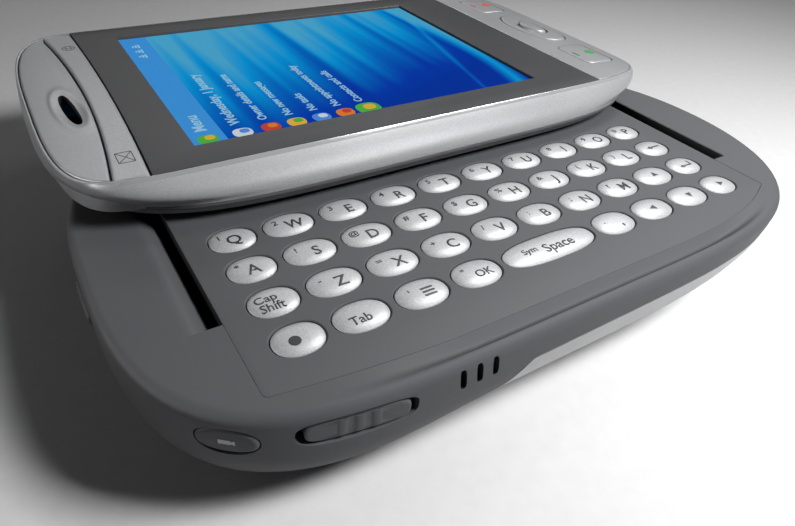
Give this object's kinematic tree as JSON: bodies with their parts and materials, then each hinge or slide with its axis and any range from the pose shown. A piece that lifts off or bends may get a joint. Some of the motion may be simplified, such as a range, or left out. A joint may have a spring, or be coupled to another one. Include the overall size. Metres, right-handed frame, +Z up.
{
  "type": "personal digital assistant",
  "caption": "Pocket organiser phone whose screen half slides off a thumb keyboard, with call keys, navigation pad, side controls, battery cover and a stylus in its silo.",
  "frame": {"origin": "on the table under the middle of the opened device", "axes": "+X along the length towards the navigation pad, +Y the way the screen half opens, +Z up out of the screen"},
  "size_m": [0.1049, 0.0936, 0.0229],
  "materials": {
    "dark_grey": "fine matte soft-touch moulding",
    "silver_paint": "fine-flake satin silver paint",
    "key_silver": "satin pearl silver with printed legends",
    "surround_grey": "smooth satin",
    "screen": "lit touch screen behind clear film",
    "rubber": "matte silicone",
    "board_green": "solder mask",
    "black_plastic": "matte",
    "lens_glass": "clear over dark"
  },
  "bodies": {
    "keyboard_half": {"base_housing": "dark_grey", "battery_pack": "black_plastic", "main_board": "board_green", "keypad_mat": "rubber", "camera_window": "lens_glass"},
    "battery_cover": {"battery_cover": "silver_paint"},
    "volume_slider": {"volume_slider": "dark_grey"},
    "record_button": {"record_button": "dark_grey"},
    "camera_button": {"camera_button": "silver_paint"},
    "power_button": {"power_button": "dark_grey"},
    "stylus": {"stylus": "dark_grey"},
    "screen_half": {"slider_housing": "silver_paint", "slider_plate": "dark_grey", "screen_bezel": "surround_grey", "display_panel": "screen", "earpiece_speaker": "black_plastic"},
    "application_rocker": {"application_rocker": "silver_paint"},
    "navigation_pad": {"navigation_pad": "silver_paint"},
    "navigation_centre": {"navigation_centre": "silver_paint"},
    "talk_key": {"talk_key": "silver_paint"},
    "end_key": {"end_key": "silver_paint"},
    "key_q": {"key_q": "key_silver"},
    "key_w": {"key_w": "key_silver"},
    "key_e": {"key_e": "key_silver"},
    "key_r": {"key_r": "key_silver"},
    "key_t": {"key_t": "key_silver"},
    "key_y": {"key_y": "key_silver"},
    "key_u": {"key_u": "key_silver"},
    "key_i": {"key_i": "key_silver"},
    "key_o": {"key_o": "key_silver"},
    "key_p": {"key_p": "key_silver"},
    "key_a": {"key_a": "key_silver"},
    "key_s": {"key_s": "key_silver"},
    "key_d": {"key_d": "key_silver"},
    "key_f": {"key_f": "key_silver"},
    "key_g": {"key_g": "key_silver"},
    "key_h": {"key_h": "key_silver"},
    "key_j": {"key_j": "key_silver"},
    "key_k": {"key_k": "key_silver"},
    "key_l": {"key_l": "key_silver"},
    "key_backspace": {"key_backspace": "key_silver"},
    "key_shift": {"key_shift": "key_silver"},
    "key_z": {"key_z": "key_silver"},
    "key_x": {"key_x": "key_silver"},
    "key_c": {"key_c": "key_silver"},
    "key_v": {"key_v": "key_silver"},
    "key_b": {"key_b": "key_silver"},
    "key_n": {"key_n": "key_silver"},
    "key_m": {"key_m": "key_silver"},
    "key_up": {"key_up": "key_silver"},
    "key_enter": {"key_enter": "key_silver"},
    "key_function": {"key_function": "key_silver"},
    "key_tab": {"key_tab": "key_silver"},
    "key_start": {"key_start": "key_silver"},
    "key_ok": {"key_ok": "key_silver"},
    "key_space": {"key_space": "key_silver"},
    "key_comma": {"key_comma": "key_silver"},
    "key_left": {"key_left": "key_silver"},
    "key_down": {"key_down": "key_silver"},
    "key_right": {"key_right": "key_silver"}
  },
  "joints": [
    {"name": "screen_slide", "type": "slide", "parent": "keyboard_half", "child": "screen_half", "axis": [0, 1, 0], "range_m": [-0.033, 0]},
    {"name": "battery_cover_slide", "type": "slide", "parent": "keyboard_half", "child": "battery_cover", "axis": [1, 0, 0], "range_m": [0, 0.012]},
    {"name": "volume_slide", "type": "slide", "parent": "keyboard_half", "child": "volume_slider", "axis": [0.9854, -0.1702, 0], "range_m": [-0.0007, 0.0007], "stiffness_N_per_m": 600},
    {"name": "record_press", "type": "slide", "parent": "keyboard_half", "child": "record_button", "axis": [-0.6334, -0.7738, 0], "range_m": [-0.0004, 0], "stiffness_N_per_m": 900, "springref_m": 0.0003},
    {"name": "camera_press", "type": "slide", "parent": "keyboard_half", "child": "camera_button", "axis": [0, 1, 0], "range_m": [-0.0004, 0], "stiffness_N_per_m": 900, "springref_m": 0.0003},
    {"name": "power_press", "type": "slide", "parent": "keyboard_half", "child": "power_button", "axis": [-1, 0, 0], "range_m": [-0.0004, 0], "stiffness_N_per_m": 900, "springref_m": 0.0003},
    {"name": "stylus_slide", "type": "slide", "parent": "keyboard_half", "child": "stylus", "axis": [1, 0, 0], "range_m": [0, 0.084]},
    {"name": "application_rock", "type": "hinge", "parent": "screen_half", "child": "application_rocker", "pos_m": [-0.0425, 0.0165, 0.0215], "axis": [1, 0, 0], "range_deg": [-0.8, 0.8], "stiffness_Nm_per_rad": 6},
    {"name": "navigation_rock", "type": "hinge", "parent": "screen_half", "child": "navigation_pad", "pos_m": [0.0405, 0.0165, 0.0215], "axis": [1, 0, 0], "range_deg": [-2.5, 2.5], "stiffness_Nm_per_rad": 0.6},
    {"name": "select_press", "type": "slide", "parent": "screen_half", "child": "navigation_centre", "axis": [0, 0, 1], "range_m": [-0.0003, 0], "stiffness_N_per_m": 1200, "springref_m": 0.0003},
    {"name": "talk_press", "type": "slide", "parent": "screen_half", "child": "talk_key", "axis": [0, 0, 1], "range_m": [-0.0003, 0], "stiffness_N_per_m": 1200, "springref_m": 0.0003},
    {"name": "end_press", "type": "slide", "parent": "screen_half", "child": "end_key", "axis": [0, 0, 1], "range_m": [-0.0003, 0], "stiffness_N_per_m": 1200, "springref_m": 0.0003},
    {"name": "key_q_press", "type": "slide", "parent": "keyboard_half", "child": "key_q", "axis": [0, 0, 1], "range_m": [-0.0005, 0], "stiffness_N_per_m": 800, "springref_m": 0.0003},
    {"name": "key_w_press", "type": "slide", "parent": "keyboard_half", "child": "key_w", "axis": [0, 0, 1], "range_m": [-0.0005, 0], "stiffness_N_per_m": 800, "springref_m": 0.0003},
    {"name": "key_e_press", "type": "slide", "parent": "keyboard_half", "child": "key_e", "axis": [0, 0, 1], "range_m": [-0.0005, 0], "stiffness_N_per_m": 800, "springref_m": 0.0003},
    {"name": "key_r_press", "type": "slide", "parent": "keyboard_half", "child": "key_r", "axis": [0, 0, 1], "range_m": [-0.0005, 0], "stiffness_N_per_m": 800, "springref_m": 0.0003},
    {"name": "key_t_press", "type": "slide", "parent": "keyboard_half", "child": "key_t", "axis": [0, 0, 1], "range_m": [-0.0005, 0], "stiffness_N_per_m": 800, "springref_m": 0.0003},
    {"name": "key_y_press", "type": "slide", "parent": "keyboard_half", "child": "key_y", "axis": [0, 0, 1], "range_m": [-0.0005, 0], "stiffness_N_per_m": 800, "springref_m": 0.0003},
    {"name": "key_u_press", "type": "slide", "parent": "keyboard_half", "child": "key_u", "axis": [0, 0, 1], "range_m": [-0.0005, 0], "stiffness_N_per_m": 800, "springref_m": 0.0003},
    {"name": "key_i_press", "type": "slide", "parent": "keyboard_half", "child": "key_i", "axis": [0, 0, 1], "range_m": [-0.0005, 0], "stiffness_N_per_m": 800, "springref_m": 0.0003},
    {"name": "key_o_press", "type": "slide", "parent": "keyboard_half", "child": "key_o", "axis": [0, 0, 1], "range_m": [-0.0005, 0], "stiffness_N_per_m": 800, "springref_m": 0.0003},
    {"name": "key_p_press", "type": "slide", "parent": "keyboard_half", "child": "key_p", "axis": [0, 0, 1], "range_m": [-0.0005, 0], "stiffness_N_per_m": 800, "springref_m": 0.0003},
    {"name": "key_a_press", "type": "slide", "parent": "keyboard_half", "child": "key_a", "axis": [0, 0, 1], "range_m": [-0.0005, 0], "stiffness_N_per_m": 800, "springref_m": 0.0003},
    {"name": "key_s_press", "type": "slide", "parent": "keyboard_half", "child": "key_s", "axis": [0, 0, 1], "range_m": [-0.0005, 0], "stiffness_N_per_m": 800, "springref_m": 0.0003},
    {"name": "key_d_press", "type": "slide", "parent": "keyboard_half", "child": "key_d", "axis": [0, 0, 1], "range_m": [-0.0005, 0], "stiffness_N_per_m": 800, "springref_m": 0.0003},
    {"name": "key_f_press", "type": "slide", "parent": "keyboard_half", "child": "key_f", "axis": [0, 0, 1], "range_m": [-0.0005, 0], "stiffness_N_per_m": 800, "springref_m": 0.0003},
    {"name": "key_g_press", "type": "slide", "parent": "keyboard_half", "child": "key_g", "axis": [0, 0, 1], "range_m": [-0.0005, 0], "stiffness_N_per_m": 800, "springref_m": 0.0003},
    {"name": "key_h_press", "type": "slide", "parent": "keyboard_half", "child": "key_h", "axis": [0, 0, 1], "range_m": [-0.0005, 0], "stiffness_N_per_m": 800, "springref_m": 0.0003},
    {"name": "key_j_press", "type": "slide", "parent": "keyboard_half", "child": "key_j", "axis": [0, 0, 1], "range_m": [-0.0005, 0], "stiffness_N_per_m": 800, "springref_m": 0.0003},
    {"name": "key_k_press", "type": "slide", "parent": "keyboard_half", "child": "key_k", "axis": [0, 0, 1], "range_m": [-0.0005, 0], "stiffness_N_per_m": 800, "springref_m": 0.0003},
    {"name": "key_l_press", "type": "slide", "parent": "keyboard_half", "child": "key_l", "axis": [0, 0, 1], "range_m": [-0.0005, 0], "stiffness_N_per_m": 800, "springref_m": 0.0003},
    {"name": "key_backspace_press", "type": "slide", "parent": "keyboard_half", "child": "key_backspace", "axis": [0, 0, 1], "range_m": [-0.0005, 0], "stiffness_N_per_m": 800, "springref_m": 0.0003},
    {"name": "key_shift_press", "type": "slide", "parent": "keyboard_half", "child": "key_shift", "axis": [0, 0, 1], "range_m": [-0.0005, 0], "stiffness_N_per_m": 800, "springref_m": 0.0003},
    {"name": "key_z_press", "type": "slide", "parent": "keyboard_half", "child": "key_z", "axis": [0, 0, 1], "range_m": [-0.0005, 0], "stiffness_N_per_m": 800, "springref_m": 0.0003},
    {"name": "key_x_press", "type": "slide", "parent": "keyboard_half", "child": "key_x", "axis": [0, 0, 1], "range_m": [-0.0005, 0], "stiffness_N_per_m": 800, "springref_m": 0.0003},
    {"name": "key_c_press", "type": "slide", "parent": "keyboard_half", "child": "key_c", "axis": [0, 0, 1], "range_m": [-0.0005, 0], "stiffness_N_per_m": 800, "springref_m": 0.0003},
    {"name": "key_v_press", "type": "slide", "parent": "keyboard_half", "child": "key_v", "axis": [0, 0, 1], "range_m": [-0.0005, 0], "stiffness_N_per_m": 800, "springref_m": 0.0003},
    {"name": "key_b_press", "type": "slide", "parent": "keyboard_half", "child": "key_b", "axis": [0, 0, 1], "range_m": [-0.0005, 0], "stiffness_N_per_m": 800, "springref_m": 0.0003},
    {"name": "key_n_press", "type": "slide", "parent": "keyboard_half", "child": "key_n", "axis": [0, 0, 1], "range_m": [-0.0005, 0], "stiffness_N_per_m": 800, "springref_m": 0.0003},
    {"name": "key_m_press", "type": "slide", "parent": "keyboard_half", "child": "key_m", "axis": [0, 0, 1], "range_m": [-0.0005, 0], "stiffness_N_per_m": 800, "springref_m": 0.0003},
    {"name": "key_up_press", "type": "slide", "parent": "keyboard_half", "child": "key_up", "axis": [0, 0, 1], "range_m": [-0.0005, 0], "stiffness_N_per_m": 800, "springref_m": 0.0003},
    {"name": "key_enter_press", "type": "slide", "parent": "keyboard_half", "child": "key_enter", "axis": [0, 0, 1], "range_m": [-0.0005, 0], "stiffness_N_per_m": 800, "springref_m": 0.0003},
    {"name": "key_function_press", "type": "slide", "parent": "keyboard_half", "child": "key_function", "axis": [0, 0, 1], "range_m": [-0.0005, 0], "stiffness_N_per_m": 800, "springref_m": 0.0003},
    {"name": "key_tab_press", "type": "slide", "parent": "keyboard_half", "child": "key_tab", "axis": [0, 0, 1], "range_m": [-0.0005, 0], "stiffness_N_per_m": 800, "springref_m": 0.0003},
    {"name": "key_start_press", "type": "slide", "parent": "keyboard_half", "child": "key_start", "axis": [0, 0, 1], "range_m": [-0.0005, 0], "stiffness_N_per_m": 800, "springref_m": 0.0003},
    {"name": "key_ok_press", "type": "slide", "parent": "keyboard_half", "child": "key_ok", "axis": [0, 0, 1], "range_m": [-0.0005, 0], "stiffness_N_per_m": 800, "springref_m": 0.0003},
    {"name": "key_space_press", "type": "slide", "parent": "keyboard_half", "child": "key_space", "axis": [0, 0, 1], "range_m": [-0.0005, 0], "stiffness_N_per_m": 800, "springref_m": 0.0003},
    {"name": "key_comma_press", "type": "slide", "parent": "keyboard_half", "child": "key_comma", "axis": [0, 0, 1], "range_m": [-0.0005, 0], "stiffness_N_per_m": 800, "springref_m": 0.0003},
    {"name": "key_left_press", "type": "slide", "parent": "keyboard_half", "child": "key_left", "axis": [0, 0, 1], "range_m": [-0.0005, 0], "stiffness_N_per_m": 800, "springref_m": 0.0003},
    {"name": "key_down_press", "type": "slide", "parent": "keyboard_half", "child": "key_down", "axis": [0, 0, 1], "range_m": [-0.0005, 0], "stiffness_N_per_m": 800, "springref_m": 0.0003},
    {"name": "key_right_press", "type": "slide", "parent": "keyboard_half", "child": "key_right", "axis": [0, 0, 1], "range_m": [-0.0005, 0], "stiffness_N_per_m": 800, "springref_m": 0.0003}
  ]
}
